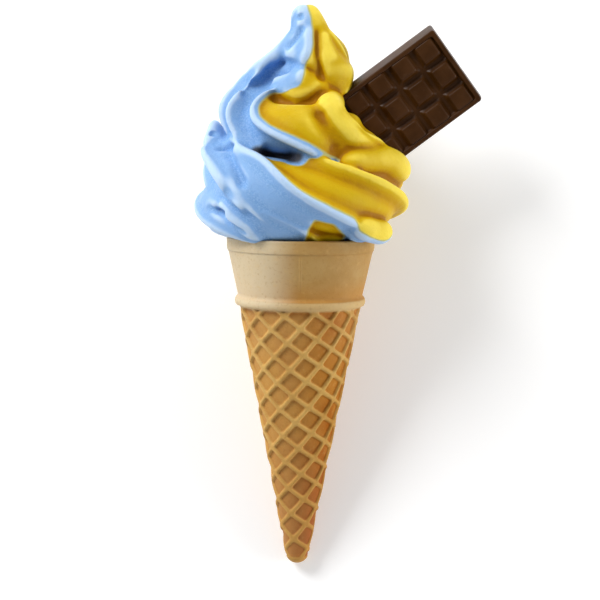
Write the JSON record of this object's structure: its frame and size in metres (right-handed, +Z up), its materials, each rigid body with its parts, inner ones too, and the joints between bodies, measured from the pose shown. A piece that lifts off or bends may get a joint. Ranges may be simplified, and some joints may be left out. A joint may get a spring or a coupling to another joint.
{
  "type": "soft serve ice cream",
  "caption": "Soft serve ice cream in a waffled wafer cone, with blue and yellow flavours coiled to a peak and a chocolate bar in its side, lying on its back.",
  "frame": {"origin": "centre of the underside of its box, on the surface that it lies on", "axes": "+Z up from that surface, +Y along the cone from its tip to the peak, +X to the side of the chocolate bar"},
  "size_m": [0.101, 0.1916, 0.0705],
  "materials": {
    "wafer": "matte, dry, toasted",
    "blue_ice_cream": "soft, slightly moist",
    "yellow_ice_cream": "soft, slightly moist",
    "chocolate": "satin"
  },
  "bodies": {
    "root": {"wafer_cone": "wafer", "blue_ice_cream": "blue_ice_cream", "yellow_ice_cream": "yellow_ice_cream", "chocolate_bar": "chocolate"}
  },
  "joints": []
}
